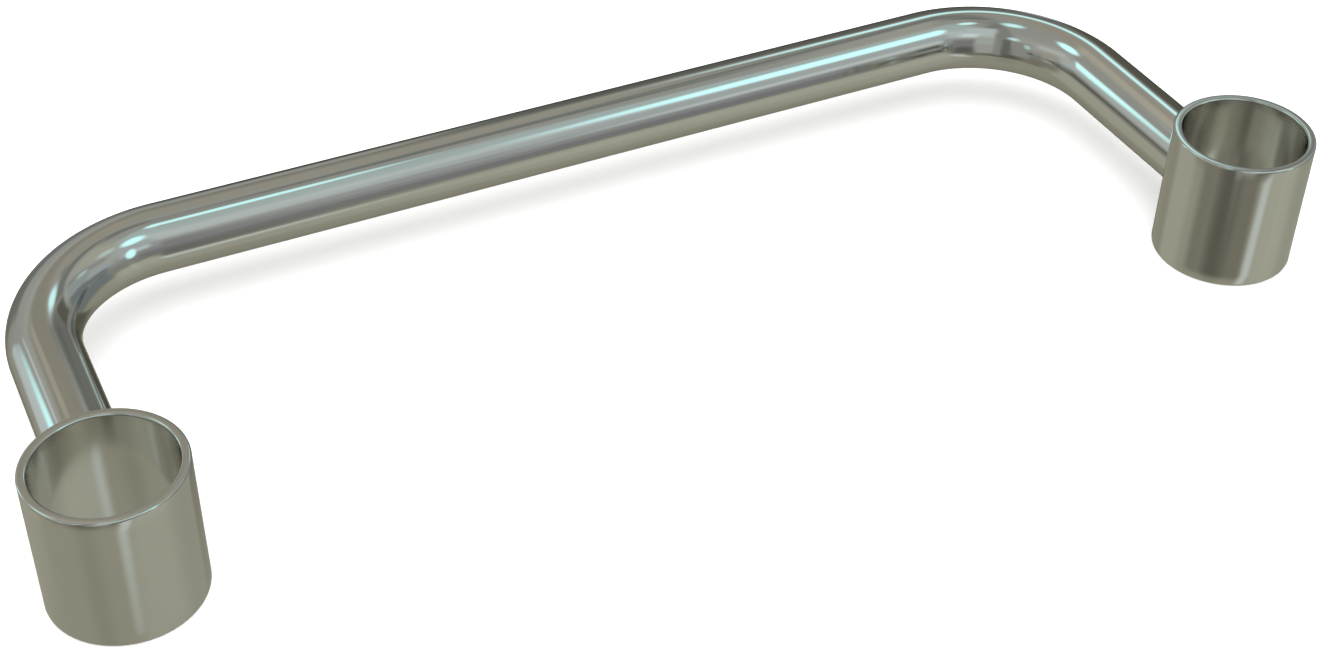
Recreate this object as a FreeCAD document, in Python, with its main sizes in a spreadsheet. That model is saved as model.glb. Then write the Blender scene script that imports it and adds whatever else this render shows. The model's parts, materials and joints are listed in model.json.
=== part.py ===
import FreeCAD, Part
import math
import os

import Sketcher

# Pool handrail: a tube bent into a shallow U, welded at each end to a short sleeve that drops over a post.
#
# Frame: origin at the middle of the left sleeve's bore, +Z up along the post, +X towards the right sleeve,
# +Y from the posts towards the grab rail. Millimetres.

SHEET = "Dimensions"
PARTS_FOLDER = "parts"
VOLUME_TOLERANCE = 0.01

# Rough sizes that a sketch is drawn with before its constraints take over.
ROUGH_SPACING = 400.0
ROUGH_OFFSET = 150.0
ROUGH_BEND = 50.0
ROUGH_CIRCLE = 10.0

DIMENSIONS = [
    # alias, value in mm, what it is
    ("post_spacing", 467.5, "distance between the two post axes"),
    ("rail_offset", 154.0, "distance from the post axes to the grab rail's axis"),
    ("bend_radius", 57.0, "centreline radius of both bends"),
    ("tube_od", 28.0, "outside diameter of the rail tube"),
    ("tube_wall", 2.0, "wall of the rail tube"),
    ("tube_drop", 0.75, "tube axis below the sleeve's mid-height"),
    ("sleeve_od", 57.0, "outside diameter of a sleeve"),
    ("sleeve_bore", 50.0, "bore of a sleeve, for a 48.3 mm post"),
    ("sleeve_height", 57.0, "height of a sleeve"),
    ("rim_radius", 0.9, "rounding of the four rims of a sleeve"),
    ("weld_leg", 1.2, "leg of the dressed fillet weld"),
]


def add_sheet(doc):
    """Driving dimensions, one per row: alias, value, meaning."""
    sheet = doc.addObject("Spreadsheet::Sheet", SHEET)
    for row, (alias, value, meaning) in enumerate(DIMENSIONS, start=1):
        sheet.set(f"A{row}", alias)
        sheet.set(f"B{row}", str(value))
        sheet.set(f"C{row}", meaning)
        sheet.setAlias(f"B{row}", alias)
    doc.recompute()
    return sheet


def add_body(doc, node):
    body = doc.addObject("PartDesign::Body", node)
    body.Label = node
    return body


def add_sketch(body, name, role):
    """A sketch on one of the body's own origin planes."""
    plane = next(feature for feature in body.Origin.OriginFeatures if feature.Role == role)
    sketch = body.newObject("Sketcher::SketchObject", name)
    sketch.AttachmentSupport = [(plane, "")]
    sketch.MapMode = "FlatFace"
    return sketch


def bind(sketch, constraint, expression):
    """Add one dimensional constraint and tie its value to the sheet."""
    index = sketch.addConstraint(constraint)
    sketch.setExpression(f"Constraints[{index}]", expression)


def add_circle(sketch, diameter, centre_x=None):
    """A circle on the sketch's origin, or along its X axis, with its sizes given as expressions."""
    start = FreeCAD.Vector(ROUGH_SPACING if centre_x else 0.0, 0, 0)
    normal = FreeCAD.Vector(0, 0, 1)
    circle = sketch.addGeometry(Part.Circle(start, normal, ROUGH_CIRCLE), False)
    if centre_x:
        sketch.addConstraint(Sketcher.Constraint("PointOnObject", circle, 3, -1))
        bind(sketch, Sketcher.Constraint("DistanceX", -1, 1, circle, 3, start.x), centre_x)
    else:
        sketch.addConstraint(Sketcher.Constraint("Coincident", circle, 3, -1, 1))
    bind(sketch, Sketcher.Constraint("Diameter", circle, 2 * ROUGH_CIRCLE), diameter)


def add_pad(body, name, sketch, length, symmetric=False, reversed_side=False):
    pad = body.newObject("PartDesign::Pad", name)
    pad.Profile = sketch
    pad.Midplane = symmetric
    pad.Reversed = reversed_side
    pad.setExpression("Length", length)
    sketch.Visibility = False
    return pad


def add_through_pocket(body, name, sketch):
    """Cut the sketch right through the body, both ways from the sketch's plane."""
    pocket = body.newObject("PartDesign::Pocket", name)
    pocket.Profile = sketch
    pocket.Type = "ThroughAll"
    pocket.Midplane = True
    sketch.Visibility = False
    return pocket


def edges_with_curve(feature, curve_type):
    """Names of the feature's edges that lie on the given kind of curve."""
    return [
        f"Edge{number}"
        for number, edge in enumerate(feature.Shape.Edges, start=1)
        if isinstance(edge.Curve, curve_type)
    ]


def add_sleeve(doc, node, axis_x):
    """A cut length of pipe with all four rims rounded."""
    body = add_body(doc, node)
    ring = add_sketch(body, node + "_ring", "XY_Plane")
    add_circle(ring, f"{SHEET}.sleeve_od")
    add_circle(ring, f"{SHEET}.sleeve_bore")
    pipe = add_pad(body, node + "_pipe", ring, f"{SHEET}.sleeve_height", symmetric=True)
    doc.recompute()
    rims = body.newObject("PartDesign::Fillet", node + "_rims")
    rims.Base = (pipe, edges_with_curve(pipe, Part.Circle))
    rims.setExpression("Radius", f"{SHEET}.rim_radius")
    body.setExpression("Placement.Base.x", axis_x)
    return body


def add_path(body, name):
    """The tube's centreline: leg, bend, rail, bend, leg, each tangent to the next."""
    sketch = add_sketch(body, name, "XY_Plane")
    bend_start = ROUGH_OFFSET - ROUGH_BEND
    far_bend = ROUGH_SPACING - ROUGH_BEND
    normal = FreeCAD.Vector(0, 0, 1)
    quarter = math.pi / 2

    def add_line(x1, y1, x2, y2):
        start = FreeCAD.Vector(x1, y1, 0)
        end = FreeCAD.Vector(x2, y2, 0)
        return sketch.addGeometry(Part.LineSegment(start, end), False)

    def add_bend(centre_x, start_angle):
        circle = Part.Circle(FreeCAD.Vector(centre_x, bend_start, 0), normal, ROUGH_BEND)
        return sketch.addGeometry(Part.ArcOfCircle(circle, start_angle, start_angle + quarter), False)

    left_leg = add_line(0, 0, 0, bend_start)
    left_bend = add_bend(ROUGH_BEND, quarter)
    rail = add_line(ROUGH_BEND, ROUGH_OFFSET, far_bend, ROUGH_OFFSET)
    right_bend = add_bend(far_bend, 0)
    right_leg = add_line(ROUGH_SPACING, bend_start, ROUGH_SPACING, 0)

    # Point 1 is a curve's start, 2 its end, 3 a centre; -1 is the origin and the X axis.
    sketch.addConstraint([
        Sketcher.Constraint("Coincident", left_leg, 1, -1, 1),
        Sketcher.Constraint("Vertical", left_leg),
        Sketcher.Constraint("Vertical", right_leg),
        Sketcher.Constraint("Horizontal", rail),
        Sketcher.Constraint("PointOnObject", right_leg, 2, -1),
        Sketcher.Constraint("Tangent", left_leg, 2, left_bend, 2),
        Sketcher.Constraint("Tangent", left_bend, 1, rail, 1),
        Sketcher.Constraint("Tangent", rail, 2, right_bend, 2),
        Sketcher.Constraint("Tangent", right_bend, 1, right_leg, 1),
        Sketcher.Constraint("Equal", left_bend, right_bend),
    ])
    bind(sketch, Sketcher.Constraint("Radius", left_bend, ROUGH_BEND), f"{SHEET}.bend_radius")
    height = Sketcher.Constraint("DistanceY", -1, 1, rail, 1, ROUGH_OFFSET)
    bind(sketch, height, f"{SHEET}.rail_offset")
    width = Sketcher.Constraint("DistanceX", -1, 1, right_leg, 2, ROUGH_SPACING)
    bind(sketch, width, f"{SHEET}.post_spacing")
    sketch.Visibility = False
    return sketch


def add_rail_tube(doc, node):
    """The bent tube, both ends coped to the outside of the sleeves."""
    body = add_body(doc, node)
    wall = add_sketch(body, node + "_wall", "XZ_Plane")
    add_circle(wall, f"{SHEET}.tube_od")
    add_circle(wall, f"{SHEET}.tube_od - 2 * {SHEET}.tube_wall")
    path = add_path(body, node + "_path")
    bent_tube = body.newObject("PartDesign::AdditivePipe", node + "_bent")
    bent_tube.Profile = wall
    bent_tube.Spine = (path, [""])
    wall.Visibility = False
    doc.recompute()

    cope = add_sketch(body, node + "_cope_outline", "XY_Plane")
    add_circle(cope, f"{SHEET}.sleeve_od")
    add_circle(cope, f"{SHEET}.sleeve_od", centre_x=f"{SHEET}.post_spacing")
    add_through_pocket(body, node + "_cope", cope)
    body.setExpression("Placement.Base.z", f"-{SHEET}.tube_drop")
    return body


def add_weld_bead(doc, node, axis_x):
    """The ring of weld in the corner between a leg and its sleeve.

    A solid sleeve and a solid leg are joined and their corner is filled, then both are cut away again, so
    that only the filling is left.
    """
    body = add_body(doc, node)
    sleeve_outline = add_sketch(body, node + "_sleeve_outline", "XY_Plane")
    add_circle(sleeve_outline, f"{SHEET}.sleeve_od")
    add_pad(body, node + "_sleeve_blank", sleeve_outline, f"{SHEET}.sleeve_height", symmetric=True)

    leg_outline = add_sketch(body, node + "_leg_outline", "XZ_Plane")
    add_circle(leg_outline, f"{SHEET}.tube_od")
    leg_length = f"{SHEET}.rail_offset - {SHEET}.bend_radius"
    joined = add_pad(body, node + "_leg_blank", leg_outline, leg_length, reversed_side=True)
    doc.recompute()

    filling = body.newObject("PartDesign::Chamfer", node + "_filling")
    filling.Base = (joined, edges_with_curve(joined, Part.BSplineCurve))
    filling.setExpression("Size", f"{SHEET}.weld_leg")
    doc.recompute()

    sleeve_cut = add_sketch(body, node + "_sleeve_cut_outline", "XY_Plane")
    add_circle(sleeve_cut, f"{SHEET}.sleeve_od")
    add_through_pocket(body, node + "_sleeve_cut", sleeve_cut)
    leg_cut = add_sketch(body, node + "_leg_cut_outline", "XZ_Plane")
    add_circle(leg_cut, f"{SHEET}.tube_od")
    add_through_pocket(body, node + "_leg_cut", leg_cut)
    body.setExpression("Placement.Base.x", axis_x)
    body.setExpression("Placement.Base.z", f"-{SHEET}.tube_drop")
    return body


def expected_volumes(sheet):
    """Volume of each kind of piece from its section and length."""
    def size(alias):
        return float(sheet.get(alias))

    sleeve = math.pi / 4 * (size("sleeve_od") ** 2 - size("sleeve_bore") ** 2) * size("sleeve_height")

    tube_id = size("tube_od") - 2 * size("tube_wall")
    section = math.pi / 4 * (size("tube_od") ** 2 - tube_id ** 2)
    mean_radius = (size("tube_od") + tube_id) / 4
    # Mean place of the coped end along the leg: the mean square of a sideways distance is radius squared / 2.
    leg_start = math.sqrt((size("sleeve_od") / 2) ** 2 - mean_radius ** 2 / 2)
    leg = size("rail_offset") - size("bend_radius") - leg_start
    rail = size("post_spacing") - 2 * size("bend_radius")
    bend = math.pi / 2 * size("bend_radius")
    return {"sleeve": sleeve, "rail_tube": section * (2 * leg + 2 * bend + rail)}


def check_document(doc, bodies, expected):
    """Stop before anything is written if a feature failed, a shape is unsound or a volume is off."""
    for item in doc.Objects:
        if "Invalid" in item.State or "Error" in item.State:
            raise RuntimeError(f"{item.Name} failed: {item.State}")
    for body in bodies:
        shape = body.Shape
        if shape.isNull() or not shape.isValid() or len(shape.Solids) != 1:
            raise RuntimeError(f"{body.Label} isn't one valid solid")
        for kind, volume in expected.items():
            if kind in body.Label and abs(shape.Volume / volume - 1) > VOLUME_TOLERANCE:
                raise RuntimeError(f"{body.Label} holds {shape.Volume:.0f} mm3, expected {volume:.0f}")


def main():
    doc = FreeCAD.newDocument("pool_handrail")
    sheet = add_sheet(doc)
    left_post = "0 mm"
    right_post = f"{SHEET}.post_spacing * 1 mm"
    bodies = [
        add_rail_tube(doc, "rail_tube"),
        add_sleeve(doc, "left_sleeve", left_post),
        add_sleeve(doc, "right_sleeve", right_post),
        add_weld_bead(doc, "left_weld_bead", left_post),
        add_weld_bead(doc, "right_weld_bead", right_post),
    ]
    doc.recompute()
    check_document(doc, bodies, expected_volumes(sheet))

    os.makedirs(PARTS_FOLDER, exist_ok=True)
    for body in bodies:
        body.Shape.exportStep(f"{PARTS_FOLDER}/{body.Label}.step")
        box = body.Shape.optimalBoundingBox(True, False)
        print(f"{body.Label}: {body.Shape.Volume:.1f} mm3, x {box.XMin:.2f} to {box.XMax:.2f}, "
              f"y {box.YMin:.2f} to {box.YMax:.2f}, z {box.ZMin:.2f} to {box.ZMax:.2f}")


main()
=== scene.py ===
import json
import math

import bpy
from mathutils import Matrix, Vector


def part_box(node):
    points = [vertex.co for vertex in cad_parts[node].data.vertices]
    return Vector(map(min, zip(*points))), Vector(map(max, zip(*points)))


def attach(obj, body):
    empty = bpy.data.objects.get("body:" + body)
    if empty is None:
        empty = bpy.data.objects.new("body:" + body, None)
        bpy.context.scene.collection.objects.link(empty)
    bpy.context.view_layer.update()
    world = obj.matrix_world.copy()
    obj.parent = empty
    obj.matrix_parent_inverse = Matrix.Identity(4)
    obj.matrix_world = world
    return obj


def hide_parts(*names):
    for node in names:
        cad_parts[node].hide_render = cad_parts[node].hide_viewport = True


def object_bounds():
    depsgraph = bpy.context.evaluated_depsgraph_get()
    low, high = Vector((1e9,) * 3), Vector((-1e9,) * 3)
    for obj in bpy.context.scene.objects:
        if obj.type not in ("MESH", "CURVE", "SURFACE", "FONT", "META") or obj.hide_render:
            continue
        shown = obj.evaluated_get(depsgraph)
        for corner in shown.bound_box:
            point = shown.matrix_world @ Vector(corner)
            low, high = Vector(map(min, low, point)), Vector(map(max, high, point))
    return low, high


# Looks of the pool handrail: a bent tube, two post sleeves and the two weld beads between them.
# Metres, in the part's frame: origin in the left sleeve's bore, +Z up the post, +X to the right sleeve,
# +Y from the posts to the grab rail.

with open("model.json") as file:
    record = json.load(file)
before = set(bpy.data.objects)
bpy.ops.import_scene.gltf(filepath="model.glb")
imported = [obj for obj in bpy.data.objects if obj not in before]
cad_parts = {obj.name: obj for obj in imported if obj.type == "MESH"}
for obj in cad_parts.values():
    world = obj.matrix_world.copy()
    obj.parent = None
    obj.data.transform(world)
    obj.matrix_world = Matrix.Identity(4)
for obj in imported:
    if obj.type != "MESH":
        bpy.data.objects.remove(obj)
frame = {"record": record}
cad_low, cad_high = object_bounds()
scene = bpy.context.scene
mounts = {mount["name"]: mount for mount in frame["record"]["mounts"]}

MM = 0.001

# ---------------------------------------------------------------- sizes, read off the frame

left_low, left_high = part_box("left_sleeve")
right_low, right_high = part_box("right_sleeve")
tube_low, tube_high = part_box("rail_tube")
bead_low, bead_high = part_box("left_weld_bead")

SLEEVE_RADIUS = (left_high.x - left_low.x) / 2
SLEEVE_HEIGHT = left_high.z - left_low.z
BORE_RADIUS = mounts["left_post_bore"]["dims"]["r_mm"] * MM
RIM_RADIUS = (SLEEVE_HEIGHT - mounts["left_post_bore"]["dims"]["length_mm"] * MM) / 2
LEFT_POST = (left_low + left_high) / 2
RIGHT_POST = (right_low + right_high) / 2

TUBE_RADIUS = (tube_high.z - tube_low.z) / 2
TUBE_HEIGHT = (tube_high.z + tube_low.z) / 2
RAIL_Y = tube_high.y - TUBE_RADIUS
WELD_LEG = (bead_high.x - bead_low.x) / 2 - TUBE_RADIUS

# Two sizes that no box or mount gives.
TUBE_WALL = 2.0 * MM
BEND_RADIUS = 57.0 * MM

FLOOR_Z = cad_low.z

# ---------------------------------------------------------------- mesh helpers


def new_piece(name, verts, faces, grain, sharp_angle=35.0):
    """A smooth-shaded mesh. grain gives each vertex its place on the unrolled metal, for the polish lines."""
    mesh = bpy.data.meshes.new(name)
    mesh.from_pydata(verts, [], faces)
    mesh.validate()
    attribute = mesh.attributes.new("grain", "FLOAT_VECTOR", "POINT")
    attribute.data.foreach_set("vector", [value for place in grain for value in place])
    mesh.polygons.foreach_set("use_smooth", [True] * len(mesh.polygons))
    mesh.set_sharp_from_angle(angle=math.radians(sharp_angle))
    piece = bpy.data.objects.new(name, mesh)
    scene.collection.objects.link(piece)
    return piece


def bridge(ring_a, ring_b):
    """Quads between two closed rings of vertex numbers, facing out when ring_b follows ring_a."""
    count = len(ring_a)
    return [
        (ring_a[i], ring_a[(i + 1) % count], ring_b[(i + 1) % count], ring_b[i])
        for i in range(count)
    ]


def ring_numbers(start, count):
    """The numbers of a ring's vertices, the first of them being start."""
    return list(range(start, start + count))


# ---------------------------------------------------------------- sleeves

SLEEVE_SEGMENTS = 256
RIM_STEPS = 8
WALL_STEPS = 12


def sleeve_profile():
    """The wall's outline in (radius, height), counter-clockwise: out, up, in and down again."""
    half = SLEEVE_HEIGHT / 2
    outer = SLEEVE_RADIUS
    inner = BORE_RADIUS
    corners = [
        (outer - RIM_RADIUS, -half + RIM_RADIUS, -90.0),
        (outer - RIM_RADIUS, half - RIM_RADIUS, 0.0),
        (inner + RIM_RADIUS, half - RIM_RADIUS, 90.0),
        (inner + RIM_RADIUS, -half + RIM_RADIUS, 180.0),
    ]
    outline = []
    for radius, height, start in corners:
        for step in range(RIM_STEPS + 1):
            angle = math.radians(start + 90.0 * step / RIM_STEPS)
            outline.append((radius + RIM_RADIUS * math.cos(angle), height + RIM_RADIUS * math.sin(angle)))
    return outline


def subdivide_long(outline, longest):
    """Even steps along an outline's long straight stretches, so that no quad is a sliver."""
    result = []
    for index, start in enumerate(outline):
        end = outline[(index + 1) % len(outline)]
        steps = max(1, math.ceil(math.dist(start, end) / longest))
        for step in range(steps):
            share = step / steps
            result.append((start[0] + (end[0] - start[0]) * share, start[1] + (end[1] - start[1]) * share))
    return result


def make_sleeve(name, centre):
    """A sleeve's closed wall, turned round its own upright axis."""
    outline = subdivide_long(sleeve_profile(), SLEEVE_HEIGHT / WALL_STEPS)
    verts = []
    grain = []
    travelled = 0.0
    for index, (radius, height) in enumerate(outline):
        if index:
            travelled += math.dist(outline[index - 1], outline[index])
        for segment in range(SLEEVE_SEGMENTS):
            turn = 2 * math.pi * segment / SLEEVE_SEGMENTS
            x = radius * math.cos(turn)
            y = radius * math.sin(turn)
            verts.append((centre.x + x, centre.y + y, centre.z + height))
            grain.append((x, y, travelled))
    faces = []
    for index in range(len(outline)):
        here = ring_numbers(index * SLEEVE_SEGMENTS, SLEEVE_SEGMENTS)
        after = ring_numbers((index + 1) % len(outline) * SLEEVE_SEGMENTS, SLEEVE_SEGMENTS)
        faces += bridge(here, after)
    return new_piece(name, verts, faces, grain)


# ---------------------------------------------------------------- rail tube

TUBE_SEGMENTS = 128
BEND_STEPS = 64
STRAIGHT_STEP = 8.0 * MM


def tube_stations():
    """(point, direction) along the centreline, from just past the left cope to just before the right one."""
    bend_start = RAIL_Y - BEND_RADIUS
    cope_end = SLEEVE_RADIUS + STRAIGHT_STEP / 2
    stations = []

    def straight(start, end):
        steps = max(1, round((end - start).length / STRAIGHT_STEP))
        direction = (end - start).normalized()
        stations.extend((start.lerp(end, step / steps), direction) for step in range(steps))

    def bend(centre, start_angle):
        for step in range(BEND_STEPS):
            angle = start_angle - math.pi / 2 * step / BEND_STEPS
            outwards = Vector((math.cos(angle), math.sin(angle), 0))
            along = Vector((math.sin(angle), -math.cos(angle), 0))
            stations.append((centre + outwards * BEND_RADIUS, along))

    left = LEFT_POST.x
    right = RIGHT_POST.x
    level = TUBE_HEIGHT
    straight(Vector((left, cope_end, level)), Vector((left, bend_start, level)))
    bend(Vector((left + BEND_RADIUS, bend_start, level)), math.pi)
    straight(Vector((left + BEND_RADIUS, RAIL_Y, level)), Vector((right - BEND_RADIUS, RAIL_Y, level)))
    bend(Vector((right - BEND_RADIUS, bend_start, level)), math.pi / 2)
    straight(Vector((right, bend_start, level)), Vector((right, cope_end, level)))
    stations.append((Vector((right, cope_end, level)), Vector((0, -1, 0))))
    return stations


def cope_depth(sideways):
    """How far from the post axis a leg's wall meets the sleeve, for a place to one side of the leg's axis."""
    return math.sqrt(SLEEVE_RADIUS ** 2 - sideways ** 2)


def tube_wall(radius):
    """Rings of (place, grain) for one wall of the tube, from cope to cope."""
    stations = tube_stations()
    rings = []
    travelled = 0.0
    turns = [2 * math.pi * segment / TUBE_SEGMENTS for segment in range(TUBE_SEGMENTS)]

    def ring(point, along, distance):
        """A circle of places round the centreline, square to it."""
        sideways = along.cross(Vector((0, 0, 1)))
        places = []
        for turn in turns:
            offset = radius * (math.cos(turn) * Vector((0, 0, 1)) + math.sin(turn) * sideways)
            unrolled = (distance, radius * math.cos(turn), radius * math.sin(turn))
            places.append((point + offset, unrolled))
        return places

    def coped(point, along, distance, post):
        """The same circle slid along the leg until it meets the sleeve's outside wall."""
        places = []
        for place, unrolled in ring(point, along, distance):
            depth = cope_depth(place.x - post.x)
            moved = Vector((place.x, post.y + depth, place.z))
            places.append((moved, (unrolled[0] + (moved - place).dot(along), *unrolled[1:])))
        return places

    first_point, first_along = stations[0]
    last_point, last_along = stations[-1]
    rings.append(coped(first_point, first_along, 0.0, LEFT_POST))
    for index, (point, along) in enumerate(stations):
        if index:
            travelled += (point - stations[index - 1][0]).length
        rings.append(ring(point, along, travelled))
    rings.append(coped(last_point, last_along, travelled, RIGHT_POST))
    return rings


def make_tube(name):
    """The hollow tube: its outside wall and its bore, joined at the two coped ends."""
    outer = tube_wall(TUBE_RADIUS)
    inner = tube_wall(TUBE_RADIUS - TUBE_WALL)
    loop = outer + inner[::-1]
    verts = [place for ring in loop for place, unrolled in ring]
    grain = [unrolled for ring in loop for place, unrolled in ring]
    faces = []
    for index in range(len(loop)):
        here = ring_numbers(index * TUBE_SEGMENTS, TUBE_SEGMENTS)
        after = ring_numbers((index + 1) % len(loop) * TUBE_SEGMENTS, TUBE_SEGMENTS)
        faces += bridge(after, here)
    return new_piece(name, verts, faces, grain)


# ---------------------------------------------------------------- weld beads

BEAD_SEGMENTS = 384
BEAD_STEPS = 10
# How far the bead's face sinks towards the corner, as a share of the way.
BEAD_HOLLOW = 0.45
# Ripples in the whole ring, and how far their ends lag behind their middles, in radians.
RIPPLE_COUNT = 74
RIPPLE_HEIGHT = 0.035 * MM
RIPPLE_CURVE = 2.2


def make_weld_bead(name, post):
    """A small concave ring of weld in the corner between leg and sleeve, with the welder's fine ripples."""
    verts = []
    grain = []
    for segment in range(BEAD_SEGMENTS):
        turn = 2 * math.pi * segment / BEAD_SEGMENTS
        side = math.sin(turn)
        up = math.cos(turn)

        def on_sleeve(distance):
            return Vector((distance * side, cope_depth(distance * side), distance * up))

        corner = on_sleeve(TUBE_RADIUS)
        on_tube = corner + Vector((0, WELD_LEG, 0))
        on_wall = on_sleeve(TUBE_RADIUS + WELD_LEG)
        middle = (on_tube + on_wall) / 2
        pull = middle.lerp(corner, BEAD_HOLLOW)
        outwards = (middle - corner).normalized()
        section = []
        for step in range(BEAD_STEPS + 1):
            share = step / BEAD_STEPS
            place = on_tube * (1 - share) ** 2 + pull * 2 * share * (1 - share) + on_wall * share ** 2
            phase = turn * RIPPLE_COUNT + RIPPLE_CURVE * (2 * share - 1) ** 2
            place += outwards * RIPPLE_HEIGHT * math.sin(phase) * math.sin(math.pi * share)
            section.append(place)
        section.append(corner)
        base = Vector((post.x, post.y, TUBE_HEIGHT))
        for index, place in enumerate(section):
            verts.append(base + place)
            grain.append((turn * TUBE_RADIUS, index * WELD_LEG / BEAD_STEPS, 0.0))
    size = BEAD_STEPS + 2
    faces = []
    for segment in range(BEAD_SEGMENTS):
        here = ring_numbers(segment * size, size)
        after = ring_numbers((segment + 1) % BEAD_SEGMENTS * size, size)
        faces += bridge(after, here)
    return new_piece(name, verts, faces, grain, sharp_angle=50.0)


# ---------------------------------------------------------------- node helpers

# A Mix node's sockets share their names between its number, vector and colour forms, so the ones for colour
# are picked by their places.
MIX_SHARE = 0
MIX_FIRST = 6
MIX_SECOND = 7
MIX_RESULT = 2


class Graph:
    """Short calls that add and join the nodes of one material or of the world."""

    def __init__(self, owner):
        owner.use_nodes = True
        self.tree = owner.node_tree
        self.tree.nodes.clear()

    def add(self, kind, **settings):
        node = self.tree.nodes.new(kind)
        for name, value in settings.items():
            setattr(node, name, value)
        return node

    def put(self, socket, value):
        """A socket's value: a number or colour, or another node's output."""
        if isinstance(value, bpy.types.NodeSocket):
            self.tree.links.new(value, socket)
        else:
            socket.default_value = value

    def math(self, operation, *values):
        node = self.add("ShaderNodeMath", operation=operation)
        for socket, value in zip(node.inputs, values):
            self.put(socket, value)
        return node.outputs[0]

    def vector_math(self, operation, *values):
        node = self.add("ShaderNodeVectorMath", operation=operation)
        for socket, value in zip(node.inputs, values):
            self.put(socket, value)
        return node.outputs["Value" if operation == "DOT_PRODUCT" else "Vector"]

    def map_range(self, value, low, high, to_low=0.0, to_high=1.0, smooth=False):
        node = self.add("ShaderNodeMapRange", clamp=True)
        node.interpolation_type = "SMOOTHSTEP" if smooth else "LINEAR"
        self.put(node.inputs["Value"], value)
        self.put(node.inputs["From Min"], low)
        self.put(node.inputs["From Max"], high)
        self.put(node.inputs["To Min"], to_low)
        self.put(node.inputs["To Max"], to_high)
        return node.outputs["Result"]

    def mix_colour(self, share, first, second):
        node = self.add("ShaderNodeMix", data_type="RGBA")
        self.put(node.inputs[MIX_SHARE], share)
        self.put(node.inputs[MIX_FIRST], first)
        self.put(node.inputs[MIX_SECOND], second)
        return node.outputs[MIX_RESULT]

    def noise(self, vector, scale, detail=2.0, roughness=0.5):
        node = self.add("ShaderNodeTexNoise", noise_dimensions="3D")
        self.put(node.inputs["Vector"], vector)
        node.inputs["Scale"].default_value = scale
        node.inputs["Detail"].default_value = detail
        node.inputs["Roughness"].default_value = roughness
        return node.outputs["Fac"]


def rgba(colour):
    return (*colour, 1.0)


# ---------------------------------------------------------------- materials

# Noise sizes are in cycles per metre; the polishing lines take theirs from each steel's own stretch.
CLOUD_SCALE = 38.0
FLECK_SCALE = 900.0
LINE_SCALE = 1.0
# The stretch of each noise that counts, because its values crowd round the middle.
SHADE_RANGE = (0.3, 0.7)
CLOUD_RANGE = (0.25, 0.75)
LINE_RANGE = (0.3, 0.7)
FLECK_RANGE = (0.68, 0.80)
# How much roughness the polishing lines add or take away, and how much a fleck adds.
LINE_ROUGHNESS = 0.012
FLECK_ROUGHNESS = 0.035


def steel(name, colour, dark_colour, roughness, line_stretch, line_height, edge_colour, bore_roughness=0.0):
    """Polished stainless steel.

    line_stretch stretches the unrolled surface so that noise becomes fine polishing lines; a broad, faint
    cloudiness shifts both colour and roughness, roughness being its lowest and highest value, and a few small
    flecks stand for water marks. bore_roughness is added on the wall of a sleeve's bore, which is polished
    less than the outside.
    """
    material = bpy.data.materials.new(name)
    graph = Graph(material)
    grain = graph.add("ShaderNodeAttribute", attribute_name="grain").outputs["Vector"]
    stretched = graph.vector_math("MULTIPLY", grain, line_stretch)
    lines = graph.noise(stretched, LINE_SCALE, detail=4.0, roughness=0.65)
    clouds = graph.noise(grain, CLOUD_SCALE, detail=3.0)
    flecks = graph.noise(grain, FLECK_SCALE, detail=1.0)

    shade = graph.map_range(clouds, *SHADE_RANGE)
    colour_output = graph.mix_colour(shade, rgba(dark_colour), rgba(colour))

    cloudy = graph.map_range(clouds, *CLOUD_RANGE, *roughness)
    lined = graph.map_range(lines, *LINE_RANGE, -LINE_ROUGHNESS, LINE_ROUGHNESS)
    flecked = graph.map_range(flecks, *FLECK_RANGE, 0.0, FLECK_ROUGHNESS)
    rough_output = graph.math("ADD", graph.math("ADD", cloudy, lined), flecked)
    if bore_roughness:
        across = graph.vector_math("MULTIPLY", grain, (1.0, 1.0, 0.0))
        from_axis = graph.math("SQRT", graph.vector_math("DOT_PRODUCT", across, across))
        in_bore = graph.map_range(from_axis, BORE_RADIUS + RIM_RADIUS, BORE_RADIUS, 0.0, bore_roughness)
        rough_output = graph.math("ADD", rough_output, in_bore)

    bump = graph.add("ShaderNodeBump")
    bump.inputs["Strength"].default_value = 1.0
    bump.inputs["Distance"].default_value = line_height
    graph.put(bump.inputs["Height"], lines)

    shader = graph.add("ShaderNodeBsdfPrincipled")
    shader.inputs["Metallic"].default_value = 1.0
    shader.inputs["Specular Tint"].default_value = rgba(edge_colour)
    graph.put(shader.inputs["Base Color"], colour_output)
    graph.put(shader.inputs["Roughness"], rough_output)
    graph.put(shader.inputs["Normal"], bump.outputs["Normal"])
    output = graph.add("ShaderNodeOutputMaterial")
    graph.put(output.inputs["Surface"], shader.outputs["BSDF"])
    return material


FLOOR_COLOUR = (0.86, 0.86, 0.85)
FLOOR_ROUGHNESS = 0.9


def floor_material():
    """A matt pale floor with no sheen at all."""
    material = bpy.data.materials.new("studio_floor")
    graph = Graph(material)
    shader = graph.add("ShaderNodeBsdfPrincipled")
    shader.inputs["Base Color"].default_value = rgba(FLOOR_COLOUR)
    shader.inputs["Roughness"].default_value = FLOOR_ROUGHNESS
    shader.inputs["Specular IOR Level"].default_value = 0.0
    output = graph.add("ShaderNodeOutputMaterial")
    graph.put(output.inputs["Surface"], shader.outputs["BSDF"])
    return material


# ---------------------------------------------------------------- studio


STUDIO_STRENGTH = 0.83

# What the camera sees past the floor's edge, and the even light that the matt floor is given.
BACKDROP_COLOUR = (1.12, 1.12, 1.11)
FILL_COLOUR = (2.2, 2.2, 2.2)

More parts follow.
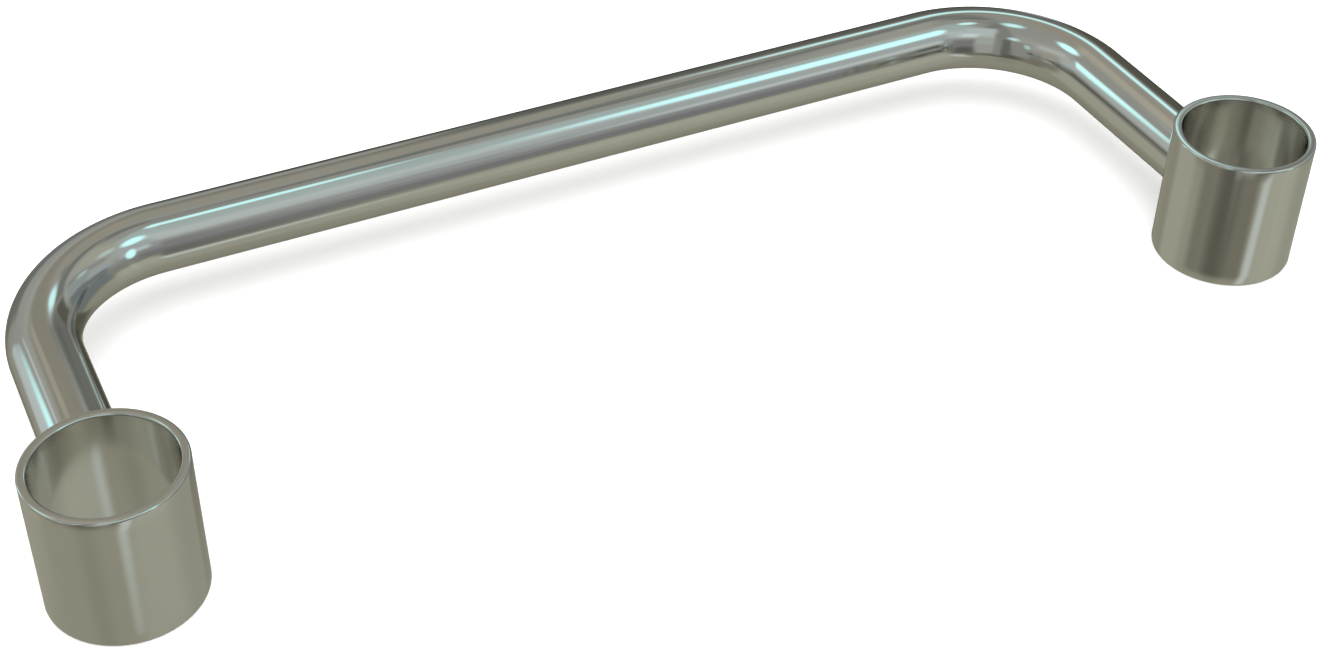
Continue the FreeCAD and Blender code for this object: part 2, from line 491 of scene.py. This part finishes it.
# Tints, as red and blue shares of the green.
TAN = (1.03, 0.783)
OLIVE = (0.985, 0.807)
KHAKI = (1.005, 0.80)
CREAM = (1.05, 0.81)
GREY = (0.97, 0.905)
LILAC = (0.98, 0.995)
MIST = (0.935, 0.933)
HAZE = (0.93, 0.98)
PALE = (0.90, 0.98)
BLUE = (0.865, 1.01)
BRIGHT = (0.835, 0.975)

# How bright the surroundings are, from straight down to straight up: (elevation, level, tint).
SHELL = [
    (-90, 0.39, TAN),
    (-45, 0.40, TAN),
    (-34, 0.42, TAN),
    (-24, 0.28, TAN),
    (-8, 0.30, GREY),
    (8, 0.42, GREY),
    (22, 0.53, GREY),
    (38, 0.52, GREY),
    (52, 0.46, GREY),
    (66, 0.44, GREY),
    (75, 0.44, GREY),
    (90, 0.32, GREY),
]

# Flat panels round the object: (level, tint, left, right, low, high, side softness, end softness), with the
# places in degrees of azimuth and elevation. A later panel covers an earlier one.
PANELS = [
    # Floor, away from the walls.
    (0.42, OLIVE, 62, 110, -60, -30, 12, 8),
    (0.48, OLIVE, 102, 180, -60, -28, 18, 8),
    (0.54, OLIVE, 116, 164, -42, -18, 8, 5),
    (0.50, KHAKI, -66, -24, -42, -12.5, 8, 5),
    (0.355, TAN, -142, -118, -62, -36, 12, 8),
    (0.24, TAN, -178, -104, -38.5, -14, 8, 1.5),
    (0.15, TAN, -148, -116, -38.5, -14, 10, 1.5),
    (0.26, TAN, -108, -84, -38.5, -16, 8, 1.5),
    (0.36, TAN, -20, 24, -40, -28, 8, 4),
    (0.20, TAN, 25, 57, -43, -15, 4, 6),
    # Behind the camera and to its left.
    (0.76, PALE, 142, 218, 30, 66, 8, 7),
    (1.04, BRIGHT, 176, 196, 31, 43, 6, 4),
    (0.29, LILAC, 168, 199, -10, 23, 6, 8),
    (0.16, GREY, 170, 193, -28, -4, 8, 6),
    (0.58, MIST, -166, -144, 0, 34, 4, 10),
    (0.50, GREY, -166, -144, -28, 6, 4, 4),
    (0.29, GREY, -168, -128, 68, 86, 8, 5),
    (0.36, GREY, -145, -136, -32, 52, 3, 5),
    (0.33, GREY, -143, -124, 30, 74, 5, 6),
    (0.20, GREY, -137, -126, -26, 32, 3, 4),
    (0.38, GREY, -126, -104, -22, 30, 4, 5),
    (0.69, MIST, -96, -58, 25, 37, 6, 5),
    (0.62, MIST, -69, -46, 5, 25, 5, 4),
    (0.47, CREAM, -90, -74, -10, 18, 4, 5),
    (0.25, TAN, -76, -49, -9, 0, 5, 3),
    # Ahead of the camera.
    (0.46, GREY, -37, -24, -20, 24, 4, 6),
    (0.48, GREY, -26, 16, 8, 25, 4, 4),
    (0.28, GREY, -24, 10, -22, 5, 4, 4),
    (0.31, LILAC, -6, 12, -22, 5, 4, 4),
    (0.35, CREAM, -30, 26, 31, 44, 6, 4),
    (0.27, GREY, 8, 26, 25, 32, 4, 2),
    (0.42, CREAM, -14, 40, 44, 66, 8, 8),
    (0.56, CREAM, -22, 8, 47, 54, 6, 3),
    (0.49, CREAM, -20, -9, 33, 42, 3, 3),
    (0.43, GREY, -46, -25, 32, 43, 4, 3),
    (0.24, GREY, 17, 42, 2, 28.5, 2, 4),
    (0.18, GREY, 18, 35, 2, 22, 3, 3),
    (0.13, TAN, 8, 40, -29, 2, 4, 4),
    (0.15, TAN, 42, 57, -34, 27, 3, 4),
    (0.27, GREY, 43, 58, 28, 62, 4, 4),
    (0.31, GREY, 35, 46, 44.5, 48.5, 3, 2),
    (0.26, GREY, 44, 72, 62, 78, 8, 4),
    # To the camera's right.
    (0.54, OLIVE, 66, 122, 40, 60, 8, 6),
    (0.66, BRIGHT, 112, 172, 52, 70, 8, 7),
    (0.27, BLUE, 62, 114, -24, 14, 4, 4),
    (0.45, BLUE, 62, 92, 18, 26, 4, 3),
    (0.56, BLUE, 90, 119, 11, 20, 5, 4),
    (0.40, MIST, 62, 112, 28, 36, 4, 3),
    (0.59, PALE, 120, 162, 24, 40, 8, 5),
    (0.46, HAZE, 156, 168, 12, 26, 3, 5),
    (0.60, HAZE, 128, 158, 12, 26, 4, 4),
    (0.36, LILAC, 130, 170, 2, 12, 6, 4),
    (0.27, LILAC, 146, 170, -13, 2, 4, 4),
    (0.33, GREY, 112, 148, -14, -2, 6, 4),
]

# The lamps and windows, cooler and brighter than all else, and where they are, in degrees:
# (strength, light, azimuth, elevation, half width, half height, turned anticlockwise, softness), softness
# being a share of the lamp's own half width and height.
LAMPLIGHT = (1.07, 1.76, 1.75)
DAYLIGHT = (1.17, 1.33, 1.34)
LAMPS = [
    (0.35, LAMPLIGHT, -109, 19, 3.5, 7, 0, 0.5),
    (0.60, LAMPLIGHT, -124, 37.5, 5, 4.5, 0, 0.6),
    (1.0, LAMPLIGHT, -42, 51.5, 8.5, 8, 0, 0.35),
    (0.50, DAYLIGHT, -40, -8, 4, 15, 0, 0.5),
    (1.0, LAMPLIGHT, -42.3, 17, 4.5, 12.5, 7, 0.35),
    (0.35, DAYLIGHT, -33.5, 22.5, 2, 3, 0, 0.5),
    (0.80, LAMPLIGHT, 37, 36, 5.6, 4.8, 0, 0.5),
    (0.55, DAYLIGHT, 40, -8, 2, 8, 0, 0.5),
    (0.30, LAMPLIGHT, 83, 31, 6, 2.5, 0, 0.6),
    (0.26, LAMPLIGHT, 108, 44, 7, 4.5, 0, 0.6),
    (0.95, LAMPLIGHT, 136.5, 47.3, 8.6, 8.2, 0, 0.35),
    (0.90, LAMPLIGHT, 139.5, 14, 5, 12, 0, 0.3),
    (0.27, DAYLIGHT, 151, 19.5, 7, 4, 0, 0.5),
    (0.07, DAYLIGHT, 137, -21, 3, 13, 0, 0.8),
    (0.36, DAYLIGHT, 174, -37, 4, 11, 48, 0.6),
    (0.80, LAMPLIGHT, -52, 84, 7, 4.5, 0, 0.5),
    (0.85, LAMPLIGHT, 136.5, 75, 4.5, 4.5, 0, 0.4),
]


def tone(level, tint):
    """A colour with the given green and the tint's shares of red and blue."""
    return rgba((level * tint[0], level, level * tint[1]))


def build_studio():
    """Soft surroundings for the polished metal: a dull floor, panels, dark flags and lamps.

    Azimuths run from +Y towards +X and elevations up from the horizon, both in degrees.
    """
    world = bpy.data.worlds.new("studio")
    scene.world = world
    graph = Graph(world)
    direction = graph.add("ShaderNodeTexCoord").outputs["Generated"]
    split = graph.add("ShaderNodeSeparateXYZ")
    graph.put(split.inputs[0], direction)
    azimuth = graph.math("ARCTAN2", split.outputs["X"], split.outputs["Y"])
    elevation = graph.math("ARCSINE", split.outputs["Z"])

    ramp = graph.add("ShaderNodeValToRGB")
    graph.put(ramp.inputs["Fac"], graph.map_range(elevation, -math.pi / 2, math.pi / 2))
    elements = ramp.color_ramp.elements
    while len(elements) < len(SHELL):
        elements.new(0.5)
    for element, (degrees, level, tint) in zip(elements, SHELL):
        element.position = degrees / 180 + 0.5
        element.color = tone(level, tint)
    surroundings = ramp.outputs["Color"]

    def window(value, half, softness):
        """1 within half a width of the middle and 0 beyond it, with a soft edge."""
        outside = math.radians(half + softness)
        inside = math.radians(half - softness)
        return graph.map_range(value, outside, inside, smooth=True)

    for level, tint, left, right, low, high, side_softness, end_softness in PANELS:
        turned = graph.math("SUBTRACT", azimuth, math.radians((left + right) / 2))
        across = graph.math("ARCCOSINE", graph.math("COSINE", turned))
        above = graph.math("ABSOLUTE", graph.math("SUBTRACT", elevation, math.radians((low + high) / 2)))
        sides = window(across, (right - left) / 2, side_softness)
        ends = window(above, (high - low) / 2, end_softness)
        share = graph.math("MULTIPLY", sides, ends)
        surroundings = graph.mix_colour(share, surroundings, tone(level, tint))

    for strength, light, at_azimuth, at_elevation, half_width, half_height, turned, softness in LAMPS:
        turn = math.radians(at_azimuth)
        rise = math.radians(at_elevation)
        ahead = Vector((math.sin(turn) * math.cos(rise), math.cos(turn) * math.cos(rise), math.sin(rise)))
        spin = Matrix.Rotation(math.radians(-turned), 3, ahead)
        right = spin @ Vector((math.cos(turn), -math.sin(turn), 0))
        up = right.cross(ahead)
        facing = graph.vector_math("DOT_PRODUCT", direction, tuple(ahead))
        wide = tuple(right / math.tan(math.radians(half_width)))
        tall = tuple(up / math.tan(math.radians(half_height)))
        across = graph.math("DIVIDE", graph.vector_math("DOT_PRODUCT", direction, wide), facing)
        above = graph.math("DIVIDE", graph.vector_math("DOT_PRODUCT", direction, tall), facing)
        squares = graph.math("ADD", graph.math("POWER", across, 2.0), graph.math("POWER", above, 2.0))
        from_middle = graph.math("SQRT", squares)
        oval = graph.map_range(from_middle, 1 + softness, 1 - softness, 0.0, strength, smooth=True)
        share = graph.math("MULTIPLY", oval, graph.math("GREATER_THAN", facing, 0.0))
        surroundings = graph.mix_colour(share, surroundings, rgba(light))

    # Only the metal shows the panels and lamps: the floor is lit evenly and the backdrop is plain.
    path = graph.add("ShaderNodeLightPath")
    even = graph.mix_colour(path.outputs["Is Diffuse Ray"], surroundings, rgba(FILL_COLOUR))
    seen = graph.mix_colour(path.outputs["Is Camera Ray"], even, rgba(BACKDROP_COLOUR))
    background = graph.add("ShaderNodeBackground")
    background.inputs["Strength"].default_value = STUDIO_STRENGTH
    graph.put(background.inputs["Color"], seen)
    output = graph.add("ShaderNodeOutputWorld")
    graph.put(output.inputs["Surface"], background.outputs["Background"])


FLOOR_HALF = 12.0


def build_floor():
    """A square of floor under the object, left out of the metal's reflections, which have their own floor."""
    verts = [
        (-FLOOR_HALF, -FLOOR_HALF, FLOOR_Z),
        (FLOOR_HALF, -FLOOR_HALF, FLOOR_Z),
        (FLOOR_HALF, FLOOR_HALF, FLOOR_Z),
        (-FLOOR_HALF, FLOOR_HALF, FLOOR_Z),
    ]
    mesh = bpy.data.meshes.new("floor")
    mesh.from_pydata(verts, [], [(0, 1, 2, 3)])
    floor = bpy.data.objects.new("floor", mesh)
    scene.collection.objects.link(floor)
    mesh.materials.append(floor_material())
    floor.visible_glossy = False


KEY_SIZE = 2.4
KEY_HEIGHT = 2.2
KEY_POWER = 22.0


def build_key_light():
    """A broad overhead light that brightens the floor and draws the soft shadow under the rail."""
    data = bpy.data.lights.new("overhead", "AREA")
    data.shape = "SQUARE"
    data.size = KEY_SIZE
    data.energy = KEY_POWER
    light = bpy.data.objects.new("overhead", data)
    light.location = ((cad_low.x + cad_high.x) / 2, 0.0, KEY_HEIGHT)
    light.visible_glossy = False
    light.visible_camera = False
    scene.collection.objects.link(light)


# ---------------------------------------------------------------- camera

# The photograph's viewing angle: the camera looks along CAMERA_AZIMUTH, from +Y towards +X, and down by
# CAMERA_ELEVATION, both in degrees, at a point in the part's frame.
CAMERA_AIM = Vector((0.2128, 0.0181, 0.0))
CAMERA_AZIMUTH = 26.69
CAMERA_ELEVATION = 39.09
CAMERA_DISTANCE = 0.8024
CAMERA_ROLL = 1.129
# The lens and sensor are in millimetres; the clip distances are in metres, like everything else.
CAMERA_LENS = 57.87
SENSOR_WIDTH = 36.0
CLIP_START = 0.02
CLIP_END = 60.0


def build_camera():
    turn = math.radians(CAMERA_AZIMUTH)
    rise = math.radians(CAMERA_ELEVATION)
    ahead = Vector((math.sin(turn) * math.cos(rise), math.cos(turn) * math.cos(rise), -math.sin(rise)))
    data = bpy.data.cameras.new("camera")
    data.sensor_width = SENSOR_WIDTH
    data.lens = CAMERA_LENS
    data.clip_start = CLIP_START
    data.clip_end = CLIP_END
    camera = bpy.data.objects.new("camera", data)
    level = ahead.to_track_quat("-Z", "Y").to_matrix()
    roll = Matrix.Rotation(math.radians(CAMERA_ROLL), 3, "Z")
    camera.matrix_world = Matrix.Translation(CAMERA_AIM - ahead * CAMERA_DISTANCE) @ (level @ roll).to_4x4()
    scene.collection.objects.link(camera)
    scene.camera = camera


# ---------------------------------------------------------------- assembly

scene.view_settings.view_transform = "Standard"

build_camera()
build_studio()
build_floor()
build_key_light()

rail_steel = steel(
    "polished_rail_steel",
    colour=(0.745, 0.745, 0.735),
    dark_colour=(0.72, 0.72, 0.71),
    roughness=(0.065, 0.095),
    line_stretch=(60.0, 5200.0, 5200.0),
    line_height=0.6e-6,
    edge_colour=(0.7, 0.7, 0.7),
)
sleeve_steel = steel(
    "polished_sleeve_steel",
    colour=(0.745, 0.745, 0.725),
    dark_colour=(0.72, 0.72, 0.70),
    roughness=(0.085, 0.115),
    line_stretch=(60.0, 60.0, 5200.0),
    line_height=0.8e-6,
    edge_colour=(1.0, 1.0, 1.0),
    bore_roughness=0.07,
)
weld_steel = steel(
    "dressed_weld_steel",
    colour=(0.73, 0.73, 0.69),
    dark_colour=(0.67, 0.67, 0.62),
    roughness=(0.14, 0.20),
    line_stretch=(900.0, 900.0, 900.0),
    line_height=3.0e-6,
    edge_colour=(0.7, 0.7, 0.7),
)

pieces = [
    (make_tube("rail_tube_polished"), "rail_tube", "rail_steel", rail_steel),
    (make_sleeve("left_sleeve_polished", LEFT_POST), "left_sleeve", "sleeve_steel", sleeve_steel),
    (make_sleeve("right_sleeve_polished", RIGHT_POST), "right_sleeve", "sleeve_steel", sleeve_steel),
    (make_weld_bead("left_weld_rippled", LEFT_POST), "left_weld_bead", "weld_steel", weld_steel),
    (make_weld_bead("right_weld_rippled", RIGHT_POST), "right_weld_bead", "weld_steel", weld_steel),
]
for piece, node, slot_name, material in pieces:
    piece.data.materials.append(material)
    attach(piece, "root")
    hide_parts(node)
